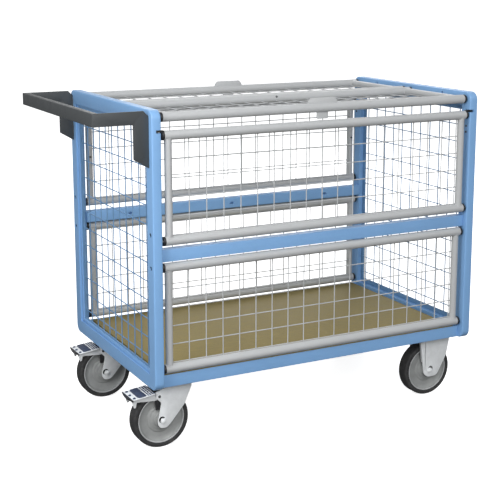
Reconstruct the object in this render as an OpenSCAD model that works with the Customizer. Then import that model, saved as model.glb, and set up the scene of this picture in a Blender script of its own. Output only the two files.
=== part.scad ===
// Mesh-sided platform trolley: two bent end frames, drop-down upper side panels,
// fixed lower side panels, a two-leaf mesh lid, a wooden deck, a push handle
// and four castors (two swivel castors with brakes under the handle end).
//
// Millimetres.  +Z is up, the floor is Z = 0, the handle points along -X and
// the front side faces -Y.  The origin is the centre of the overall footprint.

/* [Cage] */
// overall length of the cage along X, without the handle
cage_length = 1020; // [700:5:1400]
// overall width of the cage along Y
cage_width = 620; // [450:5:900]
// lowest point of the end frames above the floor
frame_bottom = 187; // [150:1:260]
// highest point of the end frames above the floor
frame_top = 927; // [700:1:1200]
// thickness of the end frames along X
frame_depth = 26; // [18:1:45]
// width of the bent band that forms each end frame
frame_band = 39; // [25:1:60]
// outer corner radius of the end frames
frame_corner = 24; // [8:1:35]
// sheet thickness of the hollow frame members
frame_wall = 2; // [1:0.5:4]

/* [End panels] */
// width of the flat bar around the end mesh
strip_width = 11; // [6:1:25]
// width of the backing bar that the wires are welded to
backing_width = 16; // [8:1:30]
// how far the flat bar lies behind the outer face
strip_recess = 6; // [0:0.5:10]
// pitch of the upright wires in the end mesh
end_pitch_y = 48.5; // [25:0.5:100]
// pitch of the level wires in the end mesh
end_pitch_z = 51; // [25:0.5:100]
// height of the middle wire of the end mesh above the frame's centre
end_mesh_shift = 14.5; // [-25:0.5:25]

/* [Mesh] */
// pitch of the welded mesh of panels and lid
mesh_pitch = 50; // [25:5:100]
// wire thickness of the mesh
wire = 3; // [2:0.5:6]

/* [Side rails] */
// front face of the base beams, measured inwards from the cage side
base_inset = 24; // [5:1:40]
// thickness of the base beams along Y
base_depth = 22; // [15:1:40]
// underside of the base beams above the floor
base_bottom = 190; // [150:0.5:260]
// height of the base beams' outer web above that underside
base_height = 32; // [25:0.5:60]
// how far the outer web reaches below that underside
base_drop = 2; // [0:0.5:6]
// front face of the mid rails, measured inwards from the cage side
rail_inset = 16; // [5:1:40]
// thickness of the mid rails along Y
rail_depth = 30; // [15:1:45]
// underside of the mid rails above the floor
rail_bottom = 530; // [400:1:700]
// height of the mid rails
rail_height = 33; // [20:1:60]

/* [Deck] */
// thickness of the deck board
deck_thickness = 13; // [9:1:25]
// height of the seat the board lies on, above the base beam underside
deck_seat = 19; // [12:0.5:25]
// gap between the board and the end frames
deck_gap = 13; // [1:1:20]
// width of the bearers across the base along X
bearer_width = 163; // [140:1:200]

/* [Panels] */
// outer diameter of the long panel tubes
tube = 25; // [16:1:30]
// outer diameter of the panel uprights
upright = 20; // [14:1:28]
// wall thickness of the panel tubes
tube_wall = 2; // [1:0.5:3]
// gap between the end frames and the metal tube ends
tube_gap = 10.5; // [6:0.5:20]
// distance of the uprights from the metal tube ends
upright_inset = 12.5; // [10.5:0.5:30]
// centre distance of the two long tubes of a side panel
panel_height = 274; // [200:1:400]
// height of the lower tube of the fixed panels
lower_level = 240.5; // [200:0.5:300]
// height of the lower tube of the drop-down panels
upper_level = 587; // [450:0.5:750]
// depth of the fixed panels behind the cage side
lower_inset = 21.5; // [12:0.5:40]
// depth of the drop-down panels behind the cage side
upper_inset = 12.5; // [12.5:0.5:40]

/* [Lid] */
// height of the lid tubes
lid_level = 906.5; // [700:0.5:1180]
// depth of the outer lid tubes behind the cage side
lid_inset = 23; // [12:1:50]
// distance between the two centre tubes of the lid
lid_middle = 36; // [26:1:80]
// width of a lift tab at its foot
tab_width = 95; // [40:1:160]
// height of a lift tab above the lid tube
tab_rise = 14; // [6:1:14]
// length and half width of the tongue below a lift tab
tab_tongue = 18; // [8:1:20]
// sheet thickness of the lift tabs
tab_plate = 3; // [2:0.5:5]

/* [Handle] */
// reach of the handle beyond the cage
handle_reach = 150; // [80:5:250]
// height of the handle profile
handle_height = 34; // [20:1:50]
// upper edge of the handle below the top of the end frame
handle_drop = 2; // [0:1:60]
// thickness of the handle bar along X
bar_depth = 18; // [12:1:35]
// thickness of the handle arms
arm_plate = 4; // [2:0.5:8]
// width of the arm legs on the columns
leg_width = 42; // [25:1:70]
// distance of the arms from the cage side
arm_inset = 18; // [4:1:60]

/* [Castors] */
// wheel diameter
wheel_diameter = 160; // [100:5:200]
// wheel width
wheel_width = 38; // [25:1:50]
// castor plate length along X
plate_length = 136; // [120:2:138]
// castor plate width along Y
plate_width = 110; // [80:5:130]
// castor plate thickness
plate_thick = 6; // [4:0.5:10]
// castor centre distance from the cage ends
castor_x = 95; // [95:1:120]
// castor centre distance from the cage sides
castor_y = 95; // [70:1:140]
// offset of the wheel axle from the swivel axis
trail = 48; // [20:1:70]
// outer width of the forks
fork_width = 62; // [45:1:80]
// sheet thickness of the forks
fork_plate = 4; // [2:0.5:6]

/* [Hidden] */

// paint and metal colours
blue = [0.35, 0.58, 0.82];
silver = [0.76, 0.77, 0.78];
zinc = [0.72, 0.74, 0.75];
graphite = [0.25, 0.27, 0.28];
black = [0.07, 0.07, 0.08];
board = [0.62, 0.56, 0.38];
wheel_grey = [0.48, 0.49, 0.50];

// clearances and roundness
eps = 0.01;
clear = 0.3;
fit = 0.05;
round_fn = 48;

// cage limits: left and right ends, front and rear sides
left = handle_reach / 2 - cage_length / 2;
right = left + cage_length;
side = cage_width / 2;
inner_left = left + frame_depth;
inner_right = right - frame_depth;
mid_x = (left + right) / 2;

// accessory holes in the columns' outer faces
hole_radius = 6;
hole_level = 561;
hole_spacing = 88;

// notches for the panel latches in the columns' front faces
notch_level = upper_level + panel_height + tube / 2 - 1;
notch_height = 8;
notch_reach = 14;

// hinge pins of panels and lid
pin_radius = 4;
pin_reach = 11;
pin_root = 3;
panel_pin_places = [
    [-side + upper_inset, upper_level],
    [-side + lower_inset, lower_level],
    [-side + lower_inset, lower_level + panel_height]];

// pegs that carry the closed lid, touching its outer tubes from inside and below
rest_radius = 2.5;
rest_shift = 9;
rest_y = side - lid_inset - rest_shift;
rest_level = lid_level - sqrt(pow(tube / 2 + rest_radius + clear, 2) - pow(rest_shift, 2));

// wires: depth of the welds, layers below the tube axis, count on the end panels
weld = 0.6;
wire_first = 7;
wire_second = wire_first + wire - weld;
end_columns = floor((side - frame_band - backing_width) / end_pitch_y);
end_rows = floor(((frame_top - frame_bottom) / 2 - frame_band - strip_width) / end_pitch_z);

// castors
wheel_radius = wheel_diameter / 2;
plate_top = base_bottom;
plate_under = plate_top - plate_thick;
race_radius = 38;
head_top = 175;
head_thick = 9;
fork_inner = fork_width / 2 - fork_plate;
axle_radius = 6;
bolt_dx = 52;
bolt_dy = 40;
bolt_radius = 4;
tyre_inner = 67;
brake_pivot = [-58, 150];
brake_plate = 3;
brake_arm_y = 24.5;
tread_length = 52;
tread_inner = 13;
pad_start = 36;
rib_pitch = 6.6;

swivel_centre_x = left + castor_x;
fixed_centre_x = right - castor_x;
castor_side = side - castor_y;

// ---------------------------------------------------------------- helpers

// box given by its lower and upper corners
module block(lo, hi) {
    translate(lo)
        cube([hi[0] - lo[0], hi[1] - lo[1], hi[2] - lo[2]]);
}

// round bar along X between two ends
module bar_x(x1, x2, y, z, r, fn = round_fn) {
    translate([x1, y, z])
        rotate([0, 90, 0])
            cylinder(h = x2 - x1, r = r, $fn = fn);
}

// round bar along Y between two ends
module bar_y(x, y1, y2, z, r, fn = round_fn) {
    translate([x, y2, z])
        rotate([90, 0, 0])
            cylinder(h = y2 - y1, r = r, $fn = fn);
}

// round bar along Z between two ends
module bar_z(x, y, z1, z2, r, fn = round_fn) {
    translate([x, y, z1])
        cylinder(h = z2 - z1, r = r, $fn = fn);
}

// repeats a front-side piece on the rear side as its mirror image
module on_rear() {
    mirror([0, 1, 0]) children();
}

// repeats a left-end piece on the right end as its mirror image
module on_right() {
    translate([mid_x, 0, 0])
        mirror([1, 0, 0])
            translate([-mid_x, 0, 0])
                children();
}

// -------------------------------------------------------------- end frames

// column outline with its two rounded outer corners, at the front left
module column_body() {
    r = frame_corner;
    band = -side + frame_band;
    block([left, -side, frame_bottom + r], [inner_left, band, frame_top - r]);
    block([left, -side + r, frame_bottom], [inner_left, band, frame_top]);
    intersection() {
        block([left, -side, frame_bottom], [inner_left, band, frame_top]);
        for (z = [frame_bottom + r, frame_top - r])
            bar_x(left, inner_left, -side + r, z, r, 96);
    }
}

// hollow left front column with holes, latch notch and pin holes
module left_front_column() {
    w = frame_wall;
    band = -side + frame_band;
    color(blue)
    difference() {
        column_body();
        block([left + w, -side + w, frame_bottom + frame_corner],
              [inner_left - w, band - w, frame_top - frame_corner]);
        for (z = [frame_bottom + w, frame_top - frame_band + w])
            block([left + w, band - frame_band + frame_corner, z],
                  [inner_left - w, band + eps, z + frame_band - 2 * w]);
        for (s = [-1, 1])
            bar_x(left - eps, left + w + eps, -side + frame_band / 2,
                  hole_level + s * hole_spacing / 2, hole_radius);
        block([inner_left - notch_reach, -side - eps, notch_level - notch_height / 2],
              [inner_left + eps, -side + 20, notch_level + notch_height / 2]);
        for (p = panel_pin_places)
            bar_x(inner_left - w - eps, inner_left + eps, p[0], p[1], pin_radius + fit);
        bar_x(inner_left - w - eps, inner_left + eps, -rest_y, rest_level, rest_radius + fit);
    }
}

module left_rear_column() {
    on_rear() left_front_column();
}

module right_front_column() {
    on_right() left_front_column();
}

module right_rear_column() {
    on_right() on_rear() left_front_column();
}

// hollow horizontal member of the left end frame, open towards the columns
module end_beam(z) {
    w = frame_wall;
    y = side - frame_band;
    difference() {
        block([left, -y, z], [inner_left, y, z + frame_band]);
        block([left + w, -y - eps, z + w], [inner_left - w, y + eps, z + frame_band - w]);
    }
}

module left_bottom_beam() {
    color(blue) end_beam(frame_bottom);
}

// top beam with the lid pivot holes and two small screw holes
module left_top_beam() {
    color(blue)
    difference() {
        end_beam(frame_top - frame_band);
        for (s = [-1, 1]) {
            bar_x(inner_left - frame_wall - eps, inner_left + eps, s * lid_middle / 2, lid_level,
                  pin_radius + fit);
            bar_x(inner_left - frame_wall - eps, inner_left + eps, s * 174, frame_top - 12, 4);
        }
    }
}

module right_bottom_beam() {
    on_right() left_bottom_beam();
}

module right_top_beam() {
    on_right() left_top_beam();
}

// flat ring in the Y-Z plane between x1 and x2, against the frame's inner edge
module flat_ring(x1, x2, width) {
    y = side - frame_band;
    z1 = frame_bottom + frame_band;
    z2 = frame_top - frame_band;
    difference() {
        block([x1, -y, z1], [x2, y, z2]);
        block([x1 - eps, -y + width, z1 + width], [x2 + eps, y - width, z2 - width]);
    }
}

// end panel: recessed flat-bar ring, its backing ring and the welded mesh
module left_infill() {
    x = left + strip_recess;
    y = side - frame_band - 4;
    z1 = frame_bottom + frame_band + 4;
    z2 = frame_top - frame_band - 4;
    middle = (z1 + z2) / 2 + end_mesh_shift;
    color(blue)
    union() {
        flat_ring(x, x + 3 + eps, strip_width);
        flat_ring(x + 3, x + 6, backing_width);
        for (k = [-end_columns : end_columns])
            wire_along_z(x + 3 + wire / 2 - weld, k * end_pitch_y, z1, z2);
        for (k = [-end_rows : end_rows])
            wire_along_y(x + 3 + wire * 1.5 - 2 * weld, middle + k * end_pitch_z, -y, y);
    }
}

module right_infill() {
    on_right() left_infill();
}

// ------------------------------------------------------------------- wires

// eight-sided wire along Z
module wire_along_z(x, y, z1, z2) {
    translate([x, y, z1])
        rotate([0, 0, 22.5])
            cylinder(h = z2 - z1, r = wire / 2 / cos(22.5), $fn = 8);
}

// eight-sided wire along Y
module wire_along_y(x, z, y1, y2) {
    translate([x, y2, z])
        rotate([90, 0, 0])
            rotate([0, 0, 22.5])
                cylinder(h = y2 - y1, r = wire / 2 / cos(22.5), $fn = 8);
}

// eight-sided wire along X
module wire_along_x(y, z, x1, x2) {
    translate([x1, y, z])
        rotate([0, 90, 0])
            rotate([0, 0, 22.5])
                cylinder(h = x2 - x1, r = wire / 2 / cos(22.5), $fn = 8);
}

// ------------------------------------------------------------ base and deck

// base beam: hollow foot that carries the board, and a web that hides its edge
module front_base_beam() {
    y1 = -side + base_inset;
    y2 = y1 + base_depth;
    z1 = base_bottom;
    color(blue)
    difference() {
        union() {
            block([inner_left, y1, z1], [inner_right, y2, z1 + deck_seat]);
            block([inner_left, y1, z1 - base_drop], [inner_right, y1 + 3, z1 + base_height]);
        }
        block([inner_left - eps, y1 + 3, z1 + 2], [inner_right + eps, y2 - 2, z1 + deck_seat - 2]);
    }
}

module rear_base_beam() {
    on_rear() front_base_beam();
}

// hollow mid rail with three short slots in its inner face
module front_mid_rail() {
    y1 = -side + rail_inset;
    y2 = y1 + rail_depth;
    z1 = rail_bottom;
    z2 = z1 + rail_height;
    color(blue)
    difference() {
        block([inner_left, y1, z1], [inner_right, y2, z2]);
        block([inner_left - eps, y1 + 2, z1 + 2], [inner_right + eps, y2 - 2, z2 - 2]);
        for (dx = [-345, 0, 345])
            hull()
                for (s = [-1, 1])
                    bar_y(mid_x + dx + s * 3.5, y2 - 2 - eps, y2 + eps, (z1 + z2) / 2, 3.5);
    }
}

module rear_mid_rail() {
    on_rear() front_mid_rail();
}

// channel across the base that carries two castors
module left_bearer() {
    x1 = inner_left + 1;
    x2 = x1 + bearer_width;
    y = side - base_inset - base_depth;
    z = base_bottom;
    color(blue)
    difference() {
        block([x1, -y, z], [x2, y, z + deck_seat]);
        block([x1 + 3, -y - eps, z + 3], [x2 - 3, y + eps, z + deck_seat + eps]);
        for (sx = [-1, 1], sy = [-1, 1], sc = [-1, 1])
            bar_z(swivel_centre_x + sx * bolt_dx, sc * castor_side + sy * bolt_dy,
                  z - eps, z + 3 + eps, bolt_radius + 0.3, 24);
    }
}

module right_bearer() {
    on_right() left_bearer();
}

module deck_board() {
    y = side - base_inset - 3 - 1;
    z = base_bottom + deck_seat;
    color(board)
    block([inner_left + deck_gap, -y, z], [inner_right - deck_gap, y, z + deck_thickness]);
}

// ------------------------------------------------------------------ panels

// side panel in its own frame: X along the tubes, first tube at the origin,
// second tube at +Y, mesh towards -Z
module mesh_panel(span) {
    x1 = inner_left + tube_gap;
    x2 = inner_right - tube_gap;
    u1 = x1 + upright_inset;
    u2 = x2 - upright_inset;
    rows = floor((span - tube + wire) / mesh_pitch);
    columns = floor((u2 - u1) / mesh_pitch / 2);
    difference() {
        union() {
            for (y = [0, span])
                bar_x(x1, x2, y, 0, tube / 2);
            for (x = [u1, u2])
                bar_y(x, 0, span, 0, upright / 2);
            for (k = [-columns : columns])
                wire_along_y(mid_x + k * mesh_pitch, -wire_first, 3, span - 3);
            for (k = [-rows / 2 : rows / 2])
                wire_along_x(span / 2 + k * mesh_pitch, -wire_second, u1 + 2, u2 - 2);
        }
        for (y = [0, span])
            bar_x(x1 - eps, x2 + eps, y, 0, tube / 2 - tube_wall);
        for (x = [u1, u2])
            bar_y(x, 0, span, 0, upright / 2 - tube_wall);
    }
}

// plastic plug in a tube end of the left side
module tube_plug(y, z) {
    x = inner_left + tube_gap;
    bar_x(x - 6.5, x, y, z, tube / 2);
    bar_x(x - eps, x + 12, y, z, tube / 2 - tube_wall - fit);
}

// plug with a bore for a hinge pin
module bored_plug(y, z) {
    difference() {
        tube_plug(y, z);
        bar_x(inner_left, inner_left + pin_reach + 1, y, z, pin_radius + fit);
    }
}

module front_lower_panel() {
    color(silver)
    translate([0, -side + lower_inset, lower_level])
        rotate([90, 0, 0])
            mesh_panel(panel_height);
}

module rear_lower_panel() {
    on_rear() front_lower_panel();
}

module lower_plugs() {
    y = side - lower_inset;
    color(black) {
        for (s = [-1, 1], z = [0, panel_height])
            bored_plug(s * y, lower_level + z);
        on_right()
            for (s = [-1, 1], z = [0, panel_height])
                bored_plug(s * y, lower_level + z);
    }
}

module front_flap() {
    color(silver)
    translate([0, -side + upper_inset, upper_level])
        rotate([90, 0, 0])
            mesh_panel(panel_height);
}

module rear_flap() {
    on_rear() front_flap();
}

// bored plugs below, plugs with a latch tongue above
module flap_plug_pair() {
    y = -side + upper_inset;
    bored_plug(y, upper_level);
    tube_plug(y, upper_level + panel_height);
    block([inner_left - notch_reach + 2, y - 8, notch_level - 2],
          [inner_left + tube_gap - clear, y + 5, notch_level + 2]);
}

module front_flap_plugs() {
    color(black) {
        flap_plug_pair();
        on_right() flap_plug_pair();
    }
}

module rear_flap_plugs() {
    on_rear() front_flap_plugs();
}

// hinge pins of the flaps and locating pins of the fixed panels
module panel_pins() {
    color(zinc)
    for (s = [-1, 1], p = panel_pin_places) {
        bar_x(inner_left - pin_root, inner_left + pin_reach, s * p[0], p[1], pin_radius);
        bar_x(inner_right - pin_reach, inner_right + pin_root, s * p[0], p[1], pin_radius);
    }
}

// --------------------------------------------------------------------- lid

lid_span = side - lid_inset - lid_middle / 2;

module front_lid() {
    color(silver)
    translate([0, -side + lid_inset, lid_level])
        mesh_panel(lid_span);
}

module rear_lid() {
    on_rear() front_lid();
}

// lift tab in the middle plane of the outer lid tube: a tapered plate on top of
// the tube and a tongue under it
module front_lid_tab() {
    half = tab_width / 2;
    edge = tube / 2 + fit;
    top = tube / 2 + tab_rise;
    color(silver)
    translate([mid_x, -side + lid_inset + tab_plate / 2, lid_level])
        rotate([90, 0, 0])
            linear_extrude(height = tab_plate) {
                polygon([[-half, edge], [half, edge], [half - 2, top - 8], [half - 9, top],
                         [-half + 9, top], [-half + 2, top - 8]]);
                translate([-tab_tongue, -edge - tab_tongue])
                    square([2 * tab_tongue, tab_tongue]);
            }
}

module rear_lid_tab() {
    on_rear() front_lid_tab();
}

module lid_plug_pair() {
    tube_plug(-side + lid_inset, lid_level);
    bored_plug(-lid_middle / 2, lid_level);
}

module front_lid_plugs() {
    color(black) {
        lid_plug_pair();
        on_right() lid_plug_pair();
    }
}

module rear_lid_plugs() {
    on_rear() front_lid_plugs();
}

module lid_pivot_pins() {
    color(zinc)
    for (s = [-1, 1]) {
        y = s * lid_middle / 2;
        bar_x(inner_left - pin_root, inner_left + pin_reach, y, lid_level, pin_radius);
        bar_x(inner_right - pin_reach, inner_right + pin_root, y, lid_level, pin_radius);
    }
}

// pegs behind the plugs of the outer lid tubes that carry the closed lid
module lid_rests() {
    reach = tube_gap - 1.5;
    color(zinc)
    for (s = [-1, 1]) {
        bar_x(inner_left - pin_root, inner_left + reach, s * rest_y, rest_level, rest_radius);
        bar_x(inner_right - reach, inner_right + pin_root, s * rest_y, rest_level, rest_radius);
    }
}

// ------------------------------------------------------------------ handle

handle_top = frame_top - handle_drop;
handle_under = handle_top - handle_height;

module handle_bar() {
    y = side - arm_inset - arm_plate;
    x = left - handle_reach;
    color(graphite)
    difference() {
        block([x, -y, handle_under], [x + bar_depth, y, handle_top]);
        block([x + 2, -y - eps, handle_under + 2],
              [x + bar_depth - 2, y + eps, handle_top - 2]);
    }
}

// L-shaped arm plate with a chamfered top corner and a slanted foot
module front_handle_arm() {
    foot = handle_top - 147;
    color(graphite)
    translate([left, -side + arm_inset + arm_plate, 0])
        rotate([90, 0, 0])
            linear_extrude(height = arm_plate)
                polygon([[-handle_reach, handle_under], [-leg_width, handle_under],
                         [-leg_width, foot + 25], [0, foot],
                         [0, handle_top - 14], [-14, handle_top],
                         [-handle_reach, handle_top]]);
}

module rear_handle_arm() {
    on_rear() front_handle_arm();
}

// ----------------------------------------------------------------- castors

// places a castor part: +1 rear side, -1 front side
module at_swivel(s) {
    translate([swivel_centre_x, s * castor_side, 0]) children();
}

module at_fixed(s) {
    translate([fixed_centre_x, s * castor_side, 0]) children();
}

// castor plate with four bolt holes
module top_plate() {
    difference() {
        block([-plate_length / 2, -plate_width / 2, plate_under],
              [plate_length / 2, plate_width / 2, plate_top]);
        for (sx = [-1, 1], sy = [-1, 1])
            bar_z(sx * bolt_dx, sy * bolt_dy, plate_under - eps, plate_top + eps,
                  bolt_radius + 0.3, 24);
    }
}

// plate with the upper ball race and the kingpin bore
module swivel_plate() {
    color(zinc)
    difference() {
        union() {
            top_plate();
            bar_z(0, 0, head_top + 3, plate_under + eps, race_radius, 96);
            bar_z(0, 0, head_top + 0.5, head_top + 3 + eps, race_radius - 5, 96);
        }
        bar_z(0, 0, head_top, plate_top + eps, axle_radius + fit);
    }
}

module front_swivel_plate() {
    at_swivel(-1) swivel_plate();
}

module rear_swivel_plate() {
    at_swivel(1) swivel_plate();
}

// kingpins with their lower nuts
module kingpins() {
    color(zinc)
    for (s = [-1, 1])
        at_swivel(s) {
            bar_z(0, 0, 155, plate_top - 1, axle_radius);
            bar_z(0, 0, 156.5, head_top - head_thick - clear, 10, 6);
        }
}

// one cheek of the swivel fork, centred on the swivel axis
module swivel_cheek() {
    rotate([90, 0, 0])
        linear_extrude(height = fork_plate)
            polygon([[37, head_top - 3], [37, 166], [16, 118], [-28, 67], [-36, 60],
                     [-54, 58], [-64, 74], [-52, 130], [-68, 147], [-70, 162],
                     [-40, head_top - 3]]);
}

// fork: head plate and two cheeks
module swivel_fork() {
    color(zinc)
    difference() {
        union() {
            block([-40, -fork_width / 2, head_top - head_thick], [37, fork_width / 2, head_top - 3]);
            bar_z(0, 0, head_top - 3 - eps, head_top, race_radius - 8, 96);
            translate([0, fork_width / 2, 0]) swivel_cheek();
            translate([0, -fork_inner, 0]) swivel_cheek();
        }
        bar_z(0, 0, head_top - head_thick - eps, head_top + eps, axle_radius + fit);
        bar_y(-trail, -fork_width, fork_width, wheel_radius, axle_radius + fit);
        bar_y(brake_pivot[0], -fork_width, fork_width, brake_pivot[1], 3 + fit, 24);
    }
}

module front_swivel_fork() {
    at_swivel(-1) swivel_fork();
}

module rear_swivel_fork() {
    at_swivel(1) swivel_fork();
}

// wheel axle with washers, head and nut
module axle() {
    half = fork_width / 2;
    bar_y(0, -half - 7, half + 7, wheel_radius, axle_radius);
    for (s = [-1, 1]) {
        bar_y(0, min(s * half, s * (half + 1.5)), max(s * half, s * (half + 1.5)),
              wheel_radius, 12);
        bar_y(0, min(s * (half + 1.5), s * (half + 6)), max(s * (half + 1.5), s * (half + 6)),
              wheel_radius, 10, 6);
    }
}

module front_swivel_axle() {
    color(zinc) at_swivel(-1) translate([-trail, 0, 0]) axle();
}

module rear_swivel_axle() {
    color(zinc) at_swivel(1) translate([-trail, 0, 0]) axle();
}

module fixed_axles() {
    color(zinc)
    for (s = [-1, 1])
        at_fixed(s) axle();
}

// turns a profile of radius and half width into a wheel part about Y
module wheel_turn(points) {
    translate([0, 0, wheel_radius])
        rotate([90, 0, 0])
            rotate_extrude($fn = 120)
                polygon(points);
}

// grey wheel body with dished sides, long hub and rim lips
module hub() {
    boss = fork_inner - 0.5;
    w = wheel_width / 2;
    bore = axle_radius + fit;
    color(wheel_grey)
    wheel_turn([[bore, -boss], [15, -boss], [19, -11], [34, -11], [38, -w + 4],
                [62, -w + 4], [63, -w + 1], [tyre_inner, -w + 1],
                [tyre_inner, w - 1], [63, w - 1], [62, w - 4],
                [38, w - 4], [34, 11], [19, 11], [15, boss], [bore, boss]]);
}

// rubber tyre with bevelled shoulders
module tyre() {
    w = wheel_width / 2;
    r = wheel_radius;
    color(black)
    wheel_turn([[tyre_inner, -w + 1], [tyre_inner + 1, -w], [r - 3, -w], [r - 1, -w + 1.5],
                [r, -w + 5], [r, w - 5], [r - 1, w - 1.5], [r - 3, w],
                [tyre_inner + 1, w], [tyre_inner, w - 1]]);
}

module front_swivel_hub() {
    at_swivel(-1) translate([-trail, 0, 0]) hub();
}

module rear_swivel_hub() {
    at_swivel(1) translate([-trail, 0, 0]) hub();
}

module front_swivel_tyre() {
    at_swivel(-1) translate([-trail, 0, 0]) tyre();
}

module rear_swivel_tyre() {
    at_swivel(1) translate([-trail, 0, 0]) tyre();
}

module front_fixed_hub() {
    at_fixed(-1) hub();
}

module rear_fixed_hub() {
    at_fixed(1) hub();
}

module front_fixed_tyre() {
    at_fixed(-1) tyre();
}

module rear_fixed_tyre() {
    at_fixed(1) tyre();
}

// one arm of the brake lever, from its rivet to the hooked tip
module brake_arm() {
    rotate([90, 0, 0])
        linear_extrude(height = brake_plate)
            polygon([[-49, 142], [-49, 158], [-60, 161], [-84, 160], [-134, 154],
                     [-134, 148], [-126, 132], [-121, 143], [-70, 140]]);
}

// local frame of the tread plate, which slopes down away from the fork
module at_tread() {
    translate([-84, 0, 158])
        rotate([0, -7, 0])
            children();
}

// brake lever: two arms, the tread plate and the pivot rivet
module brake_lever() {
    color(zinc) {
        for (s = [-1, 1]) {
            translate([0, s * brake_arm_y + brake_plate / 2, 0]) brake_arm();
            bar_y(brake_pivot[0], s * (brake_arm_y + 3.5) - 5.5, s * (brake_arm_y + 3.5) + 5.5,
                  brake_pivot[1], 3, 24);
        }
        at_tread() block([-tread_length, -37, 0], [tread_inner, 37, brake_plate]);
    }
}

// black parts of the brake: ribbed tread, front lip and the two shoes
module brake_rubber() {
    color(black) {
        at_tread() {
            block([-pad_start, -35, brake_plate + 0.1], [tread_inner - 2, 35, brake_plate + 3]);
            for (k = [0 : 6])
                block([3 - pad_start + rib_pitch * k, -33, brake_plate + 3 - eps],
                      [6 - pad_start + rib_pitch * k, 33, brake_plate + 4.5]);
            block([-tread_length - 8, -40, -1], [-tread_length - 0.1, 40, brake_plate]);
        }
        for (s = [-1, 1])
            block([-66, s * 23 - 2.9, 111], [-53, s * 23 + 2.9, 139.5]);
    }
}

module front_brake_lever() {
    at_swivel(-1) brake_lever();
}

module rear_brake_lever() {
    at_swivel(1) brake_lever();
}

module front_brake_rubber() {
    at_swivel(-1) brake_rubber();
}

module rear_brake_rubber() {
    at_swivel(1) brake_rubber();
}

// one cheek of a fixed fork, centred on its axle
module fixed_cheek() {
    rotate([90, 0, 0])
        linear_extrude(height = fork_plate)
            polygon([[-35, plate_under - 1], [70, plate_under - 1], [70, 166], [60, 120],
                     [30, 66], [22, 60], [-8, 60], [-20, 72], [-35, 168]]);
}

// fixed fork: castor plate, crown and cheeks in one piece
module fixed_fork() {
    color(zinc)
    difference() {
        union() {
            top_plate();
            block([-35, -fork_width / 2, plate_under - 6], [70, fork_width / 2, plate_under + eps]);
            translate([0, fork_width / 2, 0]) fixed_cheek();
            translate([0, -fork_inner, 0]) fixed_cheek();
        }
        bar_y(0, -fork_width, fork_width, wheel_radius, axle_radius + fit);
    }
}

module front_fixed_fork() {
    at_fixed(-1) fixed_fork();
}

module rear_fixed_fork() {
    at_fixed(1) fixed_fork();
}

// hexagon bolts and nuts that hold the castor plates to the bearers
module castor_bolts() {
    color(zinc)
    for (x = [swivel_centre_x, fixed_centre_x], sc = [-1, 1], sx = [-1, 1], sy = [-1, 1])
        translate([x + sx * bolt_dx, sc * castor_side + sy * bolt_dy, 0]) {
            bar_z(0, 0, plate_under - 5, plate_under, 7.2, 6);
            bar_z(0, 0, plate_under - eps, base_bottom + 10.5, bolt_radius, 24);
            bar_z(0, 0, base_bottom + 3, base_bottom + 9, 7.2, 6);
        }
}

// ---------------------------------------------------------------- assembly

left_front_column();
left_rear_column();
left_top_beam();
left_bottom_beam();
right_front_column();
right_rear_column();
right_top_beam();
right_bottom_beam();
left_infill();
right_infill();
front_base_beam();
rear_base_beam();
front_mid_rail();
rear_mid_rail();
left_bearer();
right_bearer();
deck_board();
front_lower_panel();
rear_lower_panel();
lower_plugs();
front_flap();
front_flap_plugs();
rear_flap();
rear_flap_plugs();
panel_pins();
front_lid();
front_lid_tab();
front_lid_plugs();
rear_lid();
rear_lid_tab();
rear_lid_plugs();
lid_pivot_pins();
lid_rests();
handle_bar();
front_handle_arm();
rear_handle_arm();
front_swivel_plate();
rear_swivel_plate();
kingpins();
front_swivel_fork();
rear_swivel_fork();
front_swivel_axle();
rear_swivel_axle();
front_swivel_hub();
rear_swivel_hub();
front_swivel_tyre();
rear_swivel_tyre();
front_brake_lever();
rear_brake_lever();
front_brake_rubber();
rear_brake_rubber();
front_fixed_fork();
rear_fixed_fork();
fixed_axles();
front_fixed_hub();
rear_fixed_hub();
front_fixed_tyre();
rear_fixed_tyre();
castor_bolts();
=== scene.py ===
"""Looks of a mesh-sided platform trolley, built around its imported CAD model.

Metres, in the row frame: +X runs from the push handle to the fixed castors, -Y is the front side and
+Z is up.  Sizes that the CAD nodes' boxes don't give are repeated below as named values.
"""
import math

import bmesh
import bpy
from mathutils import Matrix, Vector


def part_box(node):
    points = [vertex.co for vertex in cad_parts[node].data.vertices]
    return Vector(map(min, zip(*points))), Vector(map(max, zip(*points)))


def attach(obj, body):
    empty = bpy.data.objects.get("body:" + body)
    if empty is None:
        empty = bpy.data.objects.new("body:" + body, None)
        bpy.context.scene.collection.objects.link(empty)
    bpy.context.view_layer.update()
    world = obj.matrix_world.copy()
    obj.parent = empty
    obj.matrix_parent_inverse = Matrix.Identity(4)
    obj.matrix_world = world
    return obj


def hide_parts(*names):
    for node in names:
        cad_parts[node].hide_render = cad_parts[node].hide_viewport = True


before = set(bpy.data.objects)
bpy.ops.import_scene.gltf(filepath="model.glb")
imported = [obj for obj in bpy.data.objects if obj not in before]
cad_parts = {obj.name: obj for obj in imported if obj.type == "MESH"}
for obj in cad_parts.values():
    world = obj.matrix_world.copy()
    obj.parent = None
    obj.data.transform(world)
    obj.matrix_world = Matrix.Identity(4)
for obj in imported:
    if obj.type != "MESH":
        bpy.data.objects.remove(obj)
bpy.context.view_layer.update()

MM = 0.001
SIDES = ((-1, "front"), (1, "rear"))

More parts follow.
